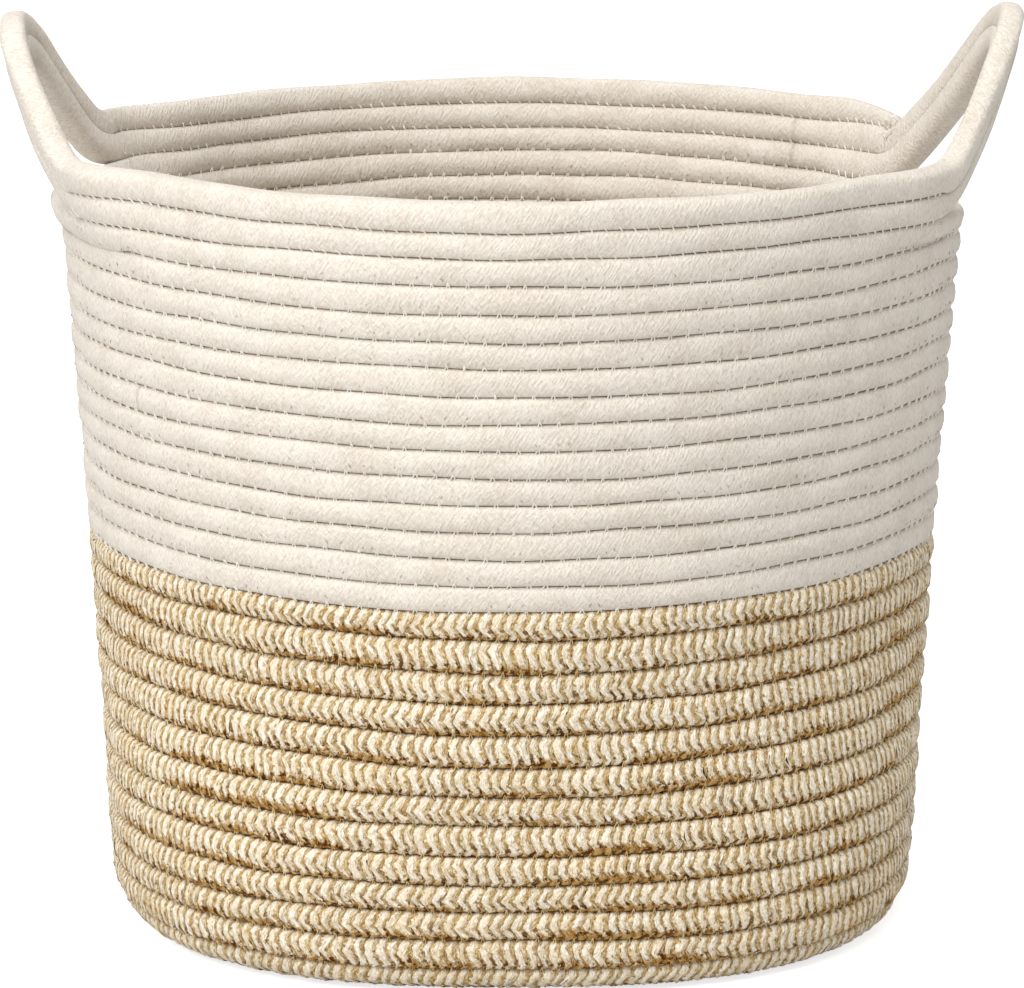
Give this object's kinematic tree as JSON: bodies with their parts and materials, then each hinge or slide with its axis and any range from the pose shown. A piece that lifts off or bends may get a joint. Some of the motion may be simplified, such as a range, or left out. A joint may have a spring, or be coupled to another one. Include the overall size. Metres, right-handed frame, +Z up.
{
  "type": "laundry basket",
  "caption": "Round open laundry basket coiled and sewn from cotton rope, with a flat spiral base, slightly flared wall, natural lower band and two arched rope handles in the rim.",
  "frame": {"origin": "on the floor, under the middle of the basket, at the centre of its bounding box", "axes": "+Z up, +X through the right handle as seen in the picture, -Y towards the viewer"},
  "size_m": [0.3668, 0.3287, 0.3271],
  "materials": {
    "mixed_rope": "matte jute and cotton rope",
    "white_rope": "matte natural cotton rope"
  },
  "bodies": {
    "root": {"base_coil": "mixed_rope", "lower_wall_coil": "mixed_rope", "upper_wall_coil": "white_rope", "handle_course_lower": "white_rope", "handle_course_upper": "white_rope"}
  },
  "joints": []
}
